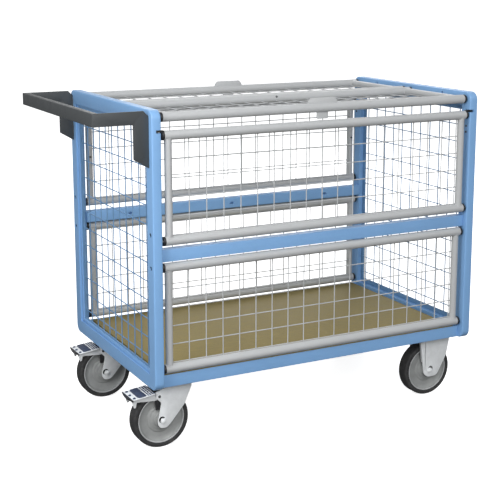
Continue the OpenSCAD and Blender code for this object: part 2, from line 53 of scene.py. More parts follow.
# ---------------------------------------- driving sizes
# cage: end frames, their band and its bends
BEAM_LOW, BEAM_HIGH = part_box("left_top_beam")
LEFT = BEAM_LOW.x
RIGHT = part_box("right_top_beam")[1].x
MIDDLE = (LEFT + RIGHT) / 2
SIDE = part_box("left_rear_column")[1].y
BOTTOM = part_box("left_bottom_beam")[0].z
TOP = BEAM_HIGH.z
DEPTH = BEAM_HIGH.x - LEFT
BAND = TOP - BEAM_LOW.z
INNER_LEFT = LEFT + DEPTH
INNER_RIGHT = RIGHT - DEPTH
FRAME_CORNER = 24 * MM
FRAME_BEND = 3.5 * MM
WALL = 2 * MM
HOLE_RADIUS = 6 * MM
CAVITY_RADIUS = 15 * MM
HOLE_LEVELS = (517 * MM, 605 * MM)
NOTCH_LEVEL = 872.5 * MM
NOTCH_HEIGHT = 8 * MM
NOTCH_REACH = 14 * MM
NOTCH_DEPTH = 20 * MM
BEAM_HOLE_Y = 174 * MM
BEAM_HOLE_LEVEL = TOP - 12 * MM
BEAM_HOLE_RADIUS = 4 * MM
BEAM_HOLE_DEPTH = 12 * MM

# how far a cutter stands out of the surface it opens
SPARE = 5 * MM

# end panels: recessed flat ring, its backing ring and the mesh
STRIP_RECESS = 6 * MM
STRIP = 11 * MM
BACKING = 16 * MM
STRIP_THICK = 3 * MM
STRIP_GAP = 1.8 * MM
END_PITCH_Y = 48.5 * MM
END_PITCH_Z = 51 * MM
END_MESH_SHIFT = 14.5 * MM

# base, rails and deck
WEB = 3 * MM
FOOT = 2 * MM
CHANNEL_SHEET = 3 * MM
RAIL_SLOTS = (-345 * MM, 0, 345 * MM)
RAIL_SLOT_DEPTH = 12 * MM
RAIL_SLOT = (7 * MM, 3.5 * MM)

# welded mesh of panels and lid; WIRE is the wires' radius, WELD how far crossing wires sink together
PITCH = 50 * MM
WIRE = 1.5 * MM
WELD = 0.6 * MM

# side panels and lid leaves; TUBE and UPRIGHT are the tubes' radii
TUBE = 12.5 * MM
UPRIGHT = 10 * MM
TUBE_GAP = 10.5 * MM
UPRIGHT_X = 23 * MM
SPAN = 274 * MM
WIRE_LEVEL = 7 * MM
LOWER_Y, LOWER_Z = SIDE - 21.5 * MM, 240.5 * MM
FLAP_Y, FLAP_Z = SIDE - 12.5 * MM, 587 * MM
LID_Y, LID_Z = SIDE - 23 * MM, 906.5 * MM
LID_MIDDLE = 18 * MM
LID_SPAN = LID_Y - LID_MIDDLE
SCREW_LEVELS = (811 * MM, 828 * MM)
SCREW_INSET = 17 * MM

# push handle arms: how deep the level limb is, and its slanted and cut corners
ARM_DEPTH = 34 * MM
ARM_LEG = 42 * MM
ARM_SLANT = 25 * MM
ARM_CUT = 14 * MM

# castors
AXLE_Z = 80 * MM
SWIVEL_X = LEFT + 95 * MM
FIXED_X = RIGHT - 95 * MM
CASTOR_Y = SIDE - 95 * MM
TRAIL = 48 * MM
PLATE_TOP = 190 * MM
PLATE_THICK = 6 * MM
PLATE_HALF = (68 * MM, 55 * MM)
FORK_HALF = 31 * MM
FORK_PLATE = 4 * MM
HOLE_IN_CHEEK = 9.3 * MM
HOLE_SHIFT = 3.3 * MM
BRAKE_PIVOT = (-58 * MM, 150 * MM)
TREAD_EDGE = (-84 * MM, 158 * MM)
TREAD_SLOPE = math.radians(7)
SIDE_ARM_Y = 24.5 * MM
SIDE_ARM_HALF = 1.5 * MM
PIVOT_PIN_Y = 28 * MM
PIVOT_PIN_HALF = 5 * MM
TREAD_THICK = 3 * MM
PAD_FOOT = 3.1 * MM
PAD_RIBS = (-31 * MM, -24 * MM, -17 * MM)
SLIM_RIBS = (-6 * MM, 0, 6 * MM, 11.5 * MM)

# light: the sky's strength at two heights, and the lamps' places, sizes and watts
SKY_HEIGHTS = (-0.35, 0.45)
SKY_STRENGTHS = (0.12, 0.53)
LAMPS = {
    "side": ((-1.75, -0.9, 1.3), 1.1, 20),
    "front": ((-0.9, -4.2, 2.6), 2.4, 104),
    "rear": ((2.4, 4.0, 3.2), 3.5, 75),
}

# the photographed view
CAMERA_PLACE = Vector((-1.531, -2.947, 1.255))
CAMERA_YAW = -27.5
CAMERA_PITCH = 10.8
CAMERA_LENS = 82.7
CAMERA_SHIFT = -0.109


# ---------------------------------------- node helpers
def new_material(name, colour, roughness, metallic=0.0):
    """A material with a Principled shader; returns it with its tree, shader and object coordinates."""
    made = bpy.data.materials.new(name)
    made.use_nodes = True
    made.diffuse_color = (*colour, 1)
    tree = made.node_tree
    shader = tree.nodes["Principled BSDF"]
    shader.inputs["Metallic"].default_value = metallic
    shader.inputs["Roughness"].default_value = roughness
    shader.inputs["Base Color"].default_value = (*colour, 1)
    place = tree.nodes.new("ShaderNodeTexCoord").outputs["Object"]
    return made, tree, shader, place


def noise(tree, place, scale, detail=3.0, stretch=(1, 1, 1), rough=0.5):
    """Output of a noise texture, from 0 to 1, optionally stretched along an axis."""
    mapping = tree.nodes.new("ShaderNodeMapping")
    mapping.inputs["Scale"].default_value = stretch
    tree.links.new(place, mapping.inputs["Vector"])
    made = tree.nodes.new("ShaderNodeTexNoise")
    made.inputs["Scale"].default_value = scale
    made.inputs["Detail"].default_value = detail
    made.inputs["Roughness"].default_value = rough
    tree.links.new(mapping.outputs["Vector"], made.inputs["Vector"])
    return made.outputs["Fac"]


def remap(tree, value, low=0.3, high=0.7, to_low=0.0, to_high=1.0):
    """value rescaled and clamped; unless told otherwise a noise's usual span becomes 0..1."""
    made = tree.nodes.new("ShaderNodeMapRange")
    tree.links.new(value, made.inputs["Value"])
    for key, number in (("From Min", low), ("From Max", high), ("To Min", to_low), ("To Max", to_high)):
        made.inputs[key].default_value = number
    return made.outputs["Result"]


def math_node(tree, operation, first, second):
    """Result of a math node on two sockets or numbers."""
    made = tree.nodes.new("ShaderNodeMath")
    made.operation = operation
    for socket, value in zip(made.inputs, (first, second)):
        if isinstance(value, (int, float)):
            socket.default_value = value
        else:
            tree.links.new(value, socket)
    return made.outputs["Value"]


def blend_colour(tree, factor, first, second):
    """Mix of two colours; each is a tuple or a socket."""
    made = tree.nodes.new("ShaderNodeMix")
    made.data_type = "RGBA"
    tree.links.new(factor, made.inputs["Factor"])
    for key, value in (("A", first), ("B", second)):
        socket = [s for s in made.inputs if s.name == key and s.type == "RGBA"][0]
        if isinstance(value, tuple):
            socket.default_value = (*value, 1)
        else:
            tree.links.new(value, socket)
    return [s for s in made.outputs if s.type == "RGBA"][0]


def bump(tree, shader, heights):
    """Chains bump nodes, each from (height socket, distance in metres), into the shader's normal."""
    normal = None
    for height, distance in heights:
        made = tree.nodes.new("ShaderNodeBump")
        made.inputs["Distance"].default_value = distance
        tree.links.new(height, made.inputs["Height"])
        if normal is not None:
            tree.links.new(normal, made.inputs["Normal"])
        normal = made.outputs["Normal"]
    tree.links.new(normal, shader.inputs["Normal"])


def edge_mask(tree, place, radius):
    """1 along rubbed edges, broken up by noise, and 0 elsewhere."""
    rounded = tree.nodes.new("ShaderNodeBevel")
    rounded.samples = 4
    rounded.inputs["Radius"].default_value = radius
    flat = tree.nodes.new("ShaderNodeNewGeometry")
    dot = tree.nodes.new("ShaderNodeVectorMath")
    dot.operation = "DOT_PRODUCT"
    tree.links.new(rounded.outputs["Normal"], dot.inputs[0])
    tree.links.new(flat.outputs["Normal"], dot.inputs[1])
    edge = remap(tree, dot.outputs["Value"], 0.998, 0.90)
    patches = remap(tree, noise(tree, place, 55, 5), 0.50, 0.68)
    return math_node(tree, "MULTIPLY", edge, patches)


def shade(colour, factor):
    """A colour made darker or lighter."""
    return tuple(min(1.0, c * factor) for c in colour)


# ---------------------------------------- materials
def powder_coat(name, colour, roughness, worn, wear=0.35):
    """Powder-coated steel: orange peel, faint dust and rubbed edges."""
    made, tree, shader, place = new_material(name, colour, roughness)
    cloud = remap(tree, noise(tree, place, 6, 4))
    speck = remap(tree, noise(tree, place, 850, 2), 0.35, 0.65)
    base = blend_colour(tree, cloud, shade(colour, 0.965), shade(colour, 1.03))
    base = blend_colour(tree, math_node(tree, "MULTIPLY", speck, 0.10), base, shade(colour, 1.18))
    rubbed = math_node(tree, "MULTIPLY", edge_mask(tree, place, 1.6 * MM), wear)
    base = blend_colour(tree, rubbed, base, worn)
    tree.links.new(base, shader.inputs["Base Color"])
    smear = remap(tree, noise(tree, place, 22, 5), 0.3, 0.7, roughness - 0.05, roughness + 0.09)
    tree.links.new(smear, shader.inputs["Roughness"])
    shader.inputs["Coat Weight"].default_value = 0.12
    shader.inputs["Coat Roughness"].default_value = 0.18
    bump(tree, shader, [(noise(tree, place, 420, 2), 0.00022), (noise(tree, place, 60, 2), 0.0005)])
    return made


def zinc_plate(name, colour, roughness, metallic, streak=(1, 1, 1)):
    """Bright zinc plating on pressed steel: soft mottling, fine scratches, dulled edges."""
    made, tree, shader, place = new_material(name, colour, roughness, metallic)
    mottle = remap(tree, noise(tree, place, 70, 4))
    cloud = remap(tree, noise(tree, place, 14, 3))
    base = blend_colour(tree, mottle, shade(colour, 0.93), shade(colour, 1.04))
    base = blend_colour(tree, math_node(tree, "MULTIPLY", cloud, 0.35), base, (0.70, 0.72, 0.70))
    dulled = math_node(tree, "MULTIPLY", edge_mask(tree, place, 1.2 * MM), 0.5)
    base = blend_colour(tree, dulled, base, (0.42, 0.41, 0.39))
    tree.links.new(base, shader.inputs["Base Color"])
    smear = remap(tree, noise(tree, place, 95, 5), 0.3, 0.7, roughness - 0.08, roughness + 0.12)
    tree.links.new(smear, shader.inputs["Roughness"])
    scratches = noise(tree, place, 300, 3, streak)
    bump(tree, shader, [(scratches, 0.00012), (noise(tree, place, 45, 2), 0.0004)])
    return made


def moulded_plastic(name, colour, roughness, grain=650):
    """Moulded plastic with a fine spark-eroded grain and handling marks."""
    made, tree, shader, place = new_material(name, colour, roughness)
    cloud = remap(tree, noise(tree, place, 35, 4))
    base = blend_colour(tree, cloud, shade(colour, 0.88), shade(colour, 1.12))
    tree.links.new(base, shader.inputs["Base Color"])
    smear = remap(tree, noise(tree, place, 110, 4), 0.3, 0.7, roughness - 0.07, roughness + 0.10)
    tree.links.new(smear, shader.inputs["Roughness"])
    bump(tree, shader, [(noise(tree, place, grain, 2), 0.00018)])
    return made


def tyre_rubber(name, colour):
    """Solid rubber: matt, with dust caught in its grain."""
    made, tree, shader, place = new_material(name, colour, 0.72)
    dust = remap(tree, noise(tree, place, 48, 6, rough=0.65), 0.48, 0.75, 0.0, 0.35)
    base = blend_colour(tree, dust, colour, (0.13, 0.125, 0.115))
    tree.links.new(base, shader.inputs["Base Color"])
    smear = remap(tree, noise(tree, place, 130, 4), 0.3, 0.7, 0.58, 0.85)
    tree.links.new(smear, shader.inputs["Roughness"])
    bump(tree, shader, [(noise(tree, place, 900, 2), 0.00025), (noise(tree, place, 150, 3), 0.0002)])
    return made


def pressed_board(name, colour):
    """Pressed wood board: matted fibres along X, darker flecks and scuffs from loads."""
    made, tree, shader, place = new_material(name, colour, 0.6)
    shader.inputs["Specular IOR Level"].default_value = 0.2
    fibres = remap(tree, noise(tree, place, 190, 6, (0.16, 1, 1), 0.62), 0.32, 0.68)
    cloud = remap(tree, noise(tree, place, 7, 4))
    flecks = remap(tree, noise(tree, place, 420, 3, (0.3, 1, 1)), 0.62, 0.72, 0.0, 0.5)
    scuffs = remap(tree, noise(tree, place, 26, 8, (1, 0.22, 1), 0.7), 0.60, 0.72, 0.0, 0.30)
    base = blend_colour(tree, fibres, shade(colour, 0.84), shade(colour, 1.12))
    base = blend_colour(tree, math_node(tree, "MULTIPLY", cloud, 0.30), base, shade(colour, 0.86))
    base = blend_colour(tree, flecks, base, shade(colour, 0.5))
    base = blend_colour(tree, scuffs, base, shade(colour, 1.35))
    tree.links.new(base, shader.inputs["Base Color"])
    gloss = remap(tree, fibres, 0.0, 1.0, 0.50, 0.72)
    tree.links.new(gloss, shader.inputs["Roughness"])
    bump(tree, shader, [(fibres, 0.0003)])
    return made


def make_materials():
    """Every look of the model, under the name that the pieces use."""
    bare = (0.46, 0.47, 0.48)
    return {
        "blue": powder_coat("blue_powder_coat", (0.225, 0.430, 0.735), 0.42, bare),
        # a darker copy of the blue coat: painted shade on the end frames' backing rings and mesh wires
        "wire": powder_coat("blue_wire_coat", (0.135, 0.275, 0.48), 0.42, bare),
        "silver": powder_coat("silver_powder_coat", (0.49, 0.50, 0.506), 0.46, shade(bare, 0.8), 0.25),
        "graphite": powder_coat("graphite_powder_coat", (0.050, 0.055, 0.058), 0.50, (0.25, 0.25, 0.25)),
        "zinc": zinc_plate("bright_zinc", (0.90, 0.92, 0.935), 0.40, 0.08),
        "steel": zinc_plate("turned_steel", (0.55, 0.56, 0.57), 0.30, 0.5, (1, 0.1, 1)),
        "black": moulded_plastic("black_plastic", (0.018, 0.018, 0.020), 0.45),
        "pedal": moulded_plastic("slate_plastic", (0.052, 0.066, 0.115), 0.42),
        "grey": moulded_plastic("grey_wheel_plastic", (0.31, 0.318, 0.314), 0.50, 500),
        # a lighter copy of the wheel's grey plastic: painted highlight on the rim ring
        "rim": moulded_plastic("wheel_plastic_painted_highlight", (0.50, 0.51, 0.515), 0.42, 500),
        "rubber": tyre_rubber("solid_rubber", (0.030, 0.030, 0.031)),
        "board": pressed_board("pressed_board", (0.31, 0.245, 0.095)),
    }


# ---------------------------------------- mesh helpers
def finish_mesh(bm, sharp=32):
    """Cleans a bmesh, smooths it and marks the edges sharper than an angle in degrees."""
    bmesh.ops.remove_doubles(bm, verts=bm.verts, dist=1e-6)
    bmesh.ops.recalc_face_normals(bm, faces=bm.faces)
    limit = math.radians(sharp)
    for face in bm.faces:
        face.smooth = True
    for edge in bm.edges:
        edge.smooth = len(edge.link_faces) == 2 and edge.calc_face_angle(0) < limit


def piece(name, bm, look, body, nodes=(), sharp=32):
    """Makes a visible piece from a bmesh, gives it its material and puts it on its body."""
    finish_mesh(bm, sharp)
    data = bpy.data.meshes.new(name)
    bm.to_mesh(data)
    bm.free()
    made = bpy.data.objects.new(name, data)
    bpy.context.scene.collection.objects.link(made)
    data.materials.append(LOOKS[look])
    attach(made, body)
    if nodes:
        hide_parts(*nodes)
    return made


def fillet(points, radius, steps=5):
    """A closed outline with each corner rounded; a corner may carry its own radius as a third value."""
    rounded = []
    count = len(points)
    for i, corner in enumerate(points):
        here = Vector(corner[:2])
        size = corner[2] if len(corner) > 2 else radius
        before = Vector(points[i - 1][:2]) - here
        after = Vector(points[(i + 1) % count][:2]) - here
        half = before.angle(after) / 2
        reach = min(size / math.tan(half), before.length * 0.48, after.length * 0.48)
        size = reach * math.tan(half)
        if size < 1e-6:
            rounded.append(here)
            continue
        start = here + before.normalized() * reach
        end = here + after.normalized() * reach
        centre = here + (before.normalized() + after.normalized()).normalized() * (size / math.sin(half))
        sweep = (start - centre).angle_signed(end - centre)
        for k in range(steps + 1):
            turn = Matrix.Rotation(-sweep * k / steps, 2)
            rounded.append(centre + turn @ (start - centre))
    return rounded


PLANES = {
    "x": lambda a, b, h: Vector((h, a, b)),
    "y": lambda a, b, h: Vector((a, h, b)),
    "z": lambda a, b, h: Vector((a, b, h)),
}


def prism(bm, outline, axis, low, high, bevel=0.0, steps=2):
    """Closed prism of an outline between two levels of an axis, with its rim edges rounded."""
    place = PLANES[axis]
    floor = [bm.verts.new(place(p[0], p[1], low)) for p in outline]
    roof = [bm.verts.new(place(p[0], p[1], high)) for p in outline]
    faces = [bm.faces.new(floor), bm.faces.new(roof)]
    for i in range(len(outline)):
        j = (i + 1) % len(outline)
        faces.append(bm.faces.new((floor[i], floor[j], roof[j], roof[i])))
    bmesh.ops.recalc_face_normals(bm, faces=faces)
    if bevel > 0:
        rims = [e for f in faces[:2] for e in f.edges]
        walls = [e for f in faces[2:] for e in f.edges if e not in rims]
        walls = [e for e in walls if e.calc_face_angle(0) > math.radians(40)]
        bmesh.ops.bevel(bm, geom=list(set(rims + walls)), offset=bevel, segments=steps,
                        affect="EDGES", profile=0.5, clamp_overlap=True)


def block(bm, low, high, bevel=0.0, steps=2):
    """Box with rounded edges."""
    corners = [(low[0], low[1]), (high[0], low[1]), (high[0], high[1]), (low[0], high[1])]
    prism(bm, corners, "z", low[2], high[2], bevel, steps)


def circle(bm, centre, aside, across, radius, sides):
    """Ring of vertices about centre, in the plane of two unit vectors."""
    turns = [2 * math.pi * k / sides for k in range(sides)]
    return [bm.verts.new(centre + (aside * math.cos(t) + across * math.sin(t)) * radius) for t in turns]


def bridge(bm, lower, upper, offset=0):
    """Faces between two rings with the same number of vertices."""
    count = len(lower)
    for k in range(count):
        j = (k + 1) % count
        bm.faces.new((lower[k], lower[j], upper[(j + offset) % count], upper[(k + offset) % count]))


def close(bm, rings):
    """Joins rings into a closed tube with flat ends."""
    bm.faces.new(rings[0])
    bm.faces.new(rings[-1])
    for lower, upper in zip(rings, rings[1:]):
        bridge(bm, lower, upper)


def around(along):
    """Two unit vectors across a direction."""
    aside = along.orthogonal().normalized()
    return aside, along.cross(aside)


def rod(bm, start, end, radius, sides=16, bevel=0.0):
    """Closed round bar between two points, its ends chamfered if asked."""
    start, end = Vector(start), Vector(end)
    along = (end - start).normalized()
    aside, across = around(along)
    levels = [(start, radius), (end, radius)]
    if bevel > 0:
        levels = [(start, radius - bevel), (start + along * bevel, radius),
                  (end - along * bevel, radius), (end, radius - bevel)]
    close(bm, [circle(bm, centre, aside, across, r, sides) for centre, r in levels])


def turned(bm, profile, centre, axis="y", sides=72):
    """Solid of revolution about an axis through centre, from a closed outline of (radius, level)."""
    place = PLANES[axis]
    aside, across = place(1, 0, 0), place(0, 1, 0)
    rings = [circle(bm, Vector(centre) + place(0, 0, level), aside, across, radius, sides)
             for radius, level in profile]
    for lower, upper in zip(rings, rings[1:] + rings[:1]):
        bridge(bm, lower, upper)


def join(bm, other, transform=None):
    """Adds another bmesh, moved by a matrix, and frees it."""
    if transform is not None:
        bmesh.ops.transform(other, matrix=transform, verts=other.verts)
    scrap = bpy.data.meshes.new("scrap")
    other.to_mesh(scrap)
    other.free()
    bm.from_mesh(scrap)
    bpy.data.meshes.remove(scrap)


def carve(bm, cutter):
    """Cuts the solids of one bmesh out of another, exactly, and returns the result."""
    solids = []
    for label, part in (("solid", bm), ("cutter", cutter)):
        bmesh.ops.recalc_face_normals(part, faces=part.faces)
        data = bpy.data.meshes.new(label)
        part.to_mesh(data)
        part.free()
        made = bpy.data.objects.new(label, data)
        bpy.context.scene.collection.objects.link(made)
        solids.append(made)
    solid, tool = solids
    cut = solid.modifiers.new("cut", "BOOLEAN")
    cut.operation = "DIFFERENCE"
    cut.solver = "EXACT"
    cut.object = tool
    bpy.context.view_layer.update()
    shaped = solid.evaluated_get(bpy.context.evaluated_depsgraph_get())
    result = bmesh.new()
    result.from_mesh(shaped.to_mesh())
    shaped.to_mesh_clear()
    for made in solids:
        data = made.data
        bpy.data.objects.remove(made)
        bpy.data.meshes.remove(data)
    bmesh.ops.dissolve_limit(result, angle_limit=math.radians(0.5), verts=result.verts,
                             edges=result.edges)
    return result


def mirrored(bm, axis, level=0.0):
    """Mirrors a bmesh in place about a plane across an axis."""
    scale = [1, 1, 1]
    scale["xyz".index(axis)] = -1
    shift = Vector((0, 0, 0))
    shift["xyz".index(axis)] = 2 * level
    bmesh.ops.scale(bm, vec=scale, verts=bm.verts)
    bmesh.ops.translate(bm, vec=shift, verts=bm.verts)
    bmesh.ops.reverse_faces(bm, faces=bm.faces)


def bead(bm, path, radius, sides=8):
    """Closed weld bead: a rippled round cord along a closed path of points."""
    rings = []
    for i, point in enumerate(path):
        along = (path[(i + 1) % len(path)] - path[i - 1]).normalized()
        rings.append(circle(bm, point, *around(along), radius * (1 + 0.16 * math.sin(i * 1.9)), sides))
    for lower, upper in zip(rings, rings[1:] + rings[:1]):
        offset = min(range(sides), key=lambda s: (upper[s].co - lower[0].co).length)
        bridge(bm, lower, upper, offset)


def line_bead(bm, start, end, radius, sides=8):
    """Straight weld bead: a low rippled rod with tapered ends."""
    start, end = Vector(start), Vector(end)
    steps = max(6, int((end - start).length / (2.2 * MM)))
    aside, across = around((end - start).normalized())
    rings = []
    for i in range(steps + 1):
        f = i / steps
        taper = min(1.0, 0.35 + 4 * f, 0.35 + 4 * (1 - f))
        size = radius * taper * (1 + 0.14 * math.sin(i * 2.1))
        rings.append(circle(bm, start.lerp(end, f), aside, across, size, sides))
    close(bm, rings)


# ---------------------------------------- end frames
def end_frame(end):
    """Bent and welded end frame: rounded corners, accessory holes, latch notches, screw holes."""
    outline = [(-SIDE, BOTTOM), (SIDE, BOTTOM), (SIDE, TOP), (-SIDE, TOP)]
    bm = bmesh.new()
    prism(bm, fillet(outline, FRAME_CORNER, 10), "x", LEFT, INNER_LEFT, FRAME_BEND, 4)
    y, low, high = SIDE - BAND, BOTTOM + BAND, TOP - BAND
    window = bmesh.new()
    prism(window, [(-y, low), (y, low), (y, high), (-y, high)], "x", LEFT - DEPTH, INNER_LEFT + DEPTH)
    bm = carve(bm, window)
    openings, hollows = bmesh.new(), bmesh.new()
    for s in (-1, 1):
        y = s * (SIDE - BAND / 2)
        for level in HOLE_LEVELS:
            rod(openings, (LEFT - SPARE, y, level), (LEFT + 3 * WALL, y, level), HOLE_RADIUS, 32)
            rod(hollows, (LEFT + WALL, y, level), (INNER_LEFT - WALL, y, level), CAVITY_RADIUS, 32)
        low_y, high_y = sorted((s * (SIDE + SPARE), s * (SIDE - NOTCH_DEPTH)))
        block(openings, (INNER_LEFT - NOTCH_REACH, low_y, NOTCH_LEVEL - NOTCH_HEIGHT / 2),
              (INNER_LEFT + SPARE, high_y, NOTCH_LEVEL + NOTCH_HEIGHT / 2))
        rod(openings, (INNER_LEFT - BEAM_HOLE_DEPTH, s * BEAM_HOLE_Y, BEAM_HOLE_LEVEL),
            (INNER_LEFT + SPARE, s * BEAM_HOLE_Y, BEAM_HOLE_LEVEL), BEAM_HOLE_RADIUS, 24)
    bm = carve(carve(bm, openings), hollows)
    # faces in the hollows behind the accessory holes take the black plastic: painted shade
    for face in bm.faces:
        face.material_index = int(in_painted_shade_hollow(face.calc_center_median()))
    if end == "right":
        mirrored(bm, "x", MIDDLE)
    nodes = [f"{end}_{n}" for n in ("front_column", "rear_column", "top_beam", "bottom_beam")]
    made = piece(f"{end}_end_frame", bm, "blue", "cage", nodes)
    # second material: black plastic, painted shade inside the hollows
    made.data.materials.append(LOOKS["black"])


def in_painted_shade_hollow(point):
    """Whether a face's centre belongs to the hollow behind an accessory hole of the left end, painted
    black as shade.
    """
    if not LEFT + 0.9 * WALL < point.x < INNER_LEFT - 0.9 * WALL:
        return False
    return any(math.hypot(abs(point.y) - SIDE + BAND / 2, point.z - level) < CAVITY_RADIUS + 0.5 * MM
               for level in HOLE_LEVELS)


def flat_ring(bm, x1, x2, width, gap, bevel):
    """Flat rectangular ring inside the band of an end frame, a gap away from its inner edge."""
    y, low, high = SIDE - BAND, BOTTOM + BAND, TOP - BAND
    ring = bmesh.new()
    block(ring, (x1, gap - y, low + gap), (x2, y - gap, high - gap))
    cutter = bmesh.new()
    block(cutter, (x1 - MM, -y + width, low + width), (x2 + MM, y - width, high - width))
    ring = carve(ring, cutter)
    edges = [e for e in ring.edges if e.calc_face_angle(0) > 1]
    bmesh.ops.bevel(ring, geom=edges, offset=bevel, segments=2, affect="EDGES", profile=0.5)
    join(bm, ring)


def end_infill(end):
    """Recessed flat-bar ring, and behind it the wider backing ring with the welded mesh; the backing ring
    and the mesh get a darker copy of the blue coat as painted shade.
    """
    bm = bmesh.new()
    x = LEFT + STRIP_RECESS
    flat_ring(bm, x, x + STRIP_THICK, STRIP, STRIP_GAP, 0.5 * MM)
    wires = bmesh.new()
    flat_ring(wires, x + STRIP_THICK, x + 2 * STRIP_THICK, BACKING, 0, 0.3 * MM)
    inset = BAND + 4 * MM
    reach_y = SIDE - inset
    low, high = BOTTOM + inset, TOP - inset
    middle = (low + high) / 2 + END_MESH_SHIFT
    columns = int((SIDE - BAND - BACKING) / END_PITCH_Y)
    rows = int(((TOP - BOTTOM) / 2 - BAND - STRIP) / END_PITCH_Z)
    first = x + STRIP_THICK + WIRE - WELD
    second = first + 2 * WIRE - WELD
    for k in range(-columns, columns + 1):
        rod(wires, (first, k * END_PITCH_Y, low), (first, k * END_PITCH_Y, high), WIRE, 10)
    for k in range(-rows, rows + 1):
        z = middle + k * END_PITCH_Z
        rod(wires, (second, -reach_y, z), (second, reach_y, z), WIRE, 10)
        for j in range(-columns, columns + 1):
            nugget(wires, Vector(((first + second) / 2, j * END_PITCH_Y, z)))
    if end == "right":
        mirrored(bm, "x", MIDDLE)
        mirrored(wires, "x", MIDDLE)
    piece(f"{end}_end_ring", bm, "blue", "cage", [f"{end}_infill"], 40)
    # backing ring and mesh wires take the darker blue, which is painted shade
    piece(f"{end}_end_wires", wires, "wire", "cage", sharp=40)


def nugget(bm, centre):
    """Small swollen spot where two wires are welded."""
    bmesh.ops.create_icosphere(bm, subdivisions=1, radius=WIRE * 1.05, matrix=Matrix.Translation(centre))


# ---------------------------------------- base, rails and deck
def rails_and_base():
    """Base beams and mid rails of both sides, the bearers and the deck board."""
    deck_low, deck_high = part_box("deck_board")
    half_x, half_z = RAIL_SLOT
    for s, side in SIDES:
        low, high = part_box(f"{side}_mid_rail")
        bm = bmesh.new()
        block(bm, low, high, 2.5 * MM, 3)
        cutter = bmesh.new()
        level = (low.z + high.z) / 2
        inner = high.y if s < 0 else low.y
        near, far = sorted((inner - s * RAIL_SLOT_DEPTH, inner + s * RAIL_SLOT_DEPTH))
        for dx in RAIL_SLOTS:
            left, right = MIDDLE + dx - half_x, MIDDLE + dx + half_x
            under, over = level - half_z, level + half_z
            slot = [(left, under), (right, under), (right, over), (left, over)]
            prism(cutter, fillet(slot, 3.3 * MM, 6), "y", near, far)
        bm = carve(bm, cutter)
        piece(f"{side}_rail", bm, "blue", "cage", [f"{side}_mid_rail"])

        low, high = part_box(f"{side}_base_beam")
        outer, inner = (low.y, high.y) if s < 0 else (high.y, low.y)
        web = outer - s * WEB
        foot = low.z + FOOT
        seat = deck_low.z
        outline = [(outer, low.z), (web, low.z), (web, foot), (inner, foot), (inner, seat), (web, seat),
                   (web, high.z), (outer, high.z)]
        bm = bmesh.new()
        prism(bm, fillet(outline, 1.2 * MM, 3), "x", low.x, high.x)
        piece(f"{side}_base", bm, "blue", "cage", [f"{side}_base_beam"])

    for end in ("left", "right"):
        low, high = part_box(f"{end}_bearer")
        t = CHANNEL_SHEET
        outline = [(low.x, low.z), (high.x, low.z), (high.x, high.z), (high.x - t, high.z),
                   (high.x - t, low.z + t), (low.x + t, low.z + t), (low.x + t, high.z), (low.x, high.z)]
        bm = bmesh.new()
        prism(bm, fillet(outline, 1.4 * MM, 3), "y", low.y, high.y)
        piece(f"{end}_channel", bm, "blue", "cage", [f"{end}_bearer"])

    bm = bmesh.new()
    block(bm, deck_low, deck_high, 1.2 * MM, 2)
    piece("deck", bm, "board", "cage", ["deck_board"])


# ---------------------------------------- panels and lid
def saddle(u, end, towards):
    """Closed curve where an upright at x = u meets the long tube at y = end, in panel axes."""
    path = []
    steps = 36
    for k in range(steps):
        t = 2 * math.pi * k / steps
        across = UPRIGHT * math.sin(t)
        lift = towards * math.sqrt(TUBE**2 - across**2)
        path.append(Vector((u + UPRIGHT * math.cos(t), end + lift, across)))
    return path


def panel_mesh(span):
    """Tube frame and welded wires of a panel, in panel axes: X along, Y across, mesh below."""
    x1, x2 = INNER_LEFT + TUBE_GAP, INNER_RIGHT - TUBE_GAP
    u1, u2 = INNER_LEFT + UPRIGHT_X, INNER_RIGHT - UPRIGHT_X
    bm = bmesh.new()
    for y in (0, span):
        rod(bm, (x1, y, 0), (x2, y, 0), TUBE, 40, 0.6 * MM)
    for u in (u1, u2):
        rod(bm, (u, 0, 0), (u, span, 0), UPRIGHT, 36)
        bead(bm, saddle(u, 0, 1), 1.3 * MM)
        bead(bm, saddle(u, span, -1), 1.3 * MM)
    columns = int((u2 - u1) / PITCH / 2)
    rows = int((span - 2 * TUBE + 2 * WIRE) / PITCH)
    first = -WIRE_LEVEL
    second = first - 2 * WIRE + WELD
    levels = [span / 2 + (k - rows / 2) * PITCH for k in range(rows + 1)]
    for k in range(-columns, columns + 1):
        x = MIDDLE + k * PITCH
        rod(bm, (x, 4 * MM, first), (x, span - 4 * MM, first), WIRE, 10)
        for y in levels:
            nugget(bm, Vector((x, y, first - WIRE + WELD / 2)))
        for y, towards in ((0, 1), (span, -1)):
            foot = math.sqrt(TUBE**2 - first**2)
            nugget(bm, Vector((x, y + towards * foot, first)))
    for y in levels:
        rod(bm, (u1 + 2 * MM, y, second), (u2 - 2 * MM, y, second), WIRE, 10)
    return bm


def panel_place(kind, side):
    """Matrix from panel axes to the row frame, and the panel's span, for a kind and a side."""
    if kind == "lid":
        place = Matrix.Translation((0, -LID_Y, LID_Z))
        span = LID_SPAN
    else:
        y, z = (LOWER_Y, LOWER_Z) if kind == "lower_panel" else (FLAP_Y, FLAP_Z)
        place = Matrix.Translation((0, -y, z)) @ Matrix.Rotation(math.pi / 2, 4, "X")
        span = SPAN
    if side == "rear":
        place = Matrix.Scale(-1, 4, (0, 1, 0)) @ place
    return place, span


def plug(bm, y, z, bored):
    """Plastic plug in both ends of a tube at (y, z): a rounded cap, bored for its pin if asked."""
    for x, way in ((INNER_LEFT + TUBE_GAP, -1), (INNER_RIGHT - TUBE_GAP, 1)):
        bore = 4.05 * MM if bored else 0.4 * MM
        profile = [(bore, 0), (TUBE, 0), (TUBE, 4.9 * MM), (TUBE - 0.5 * MM, 6.1 * MM),
                   (TUBE - 1.6 * MM, 6.5 * MM), (bore + 2.0 * MM, 6.5 * MM), (bore, 5.6 * MM)]
        turned(bm, [(r, way * level) for r, level in profile], (x, y, z), "x", 40)


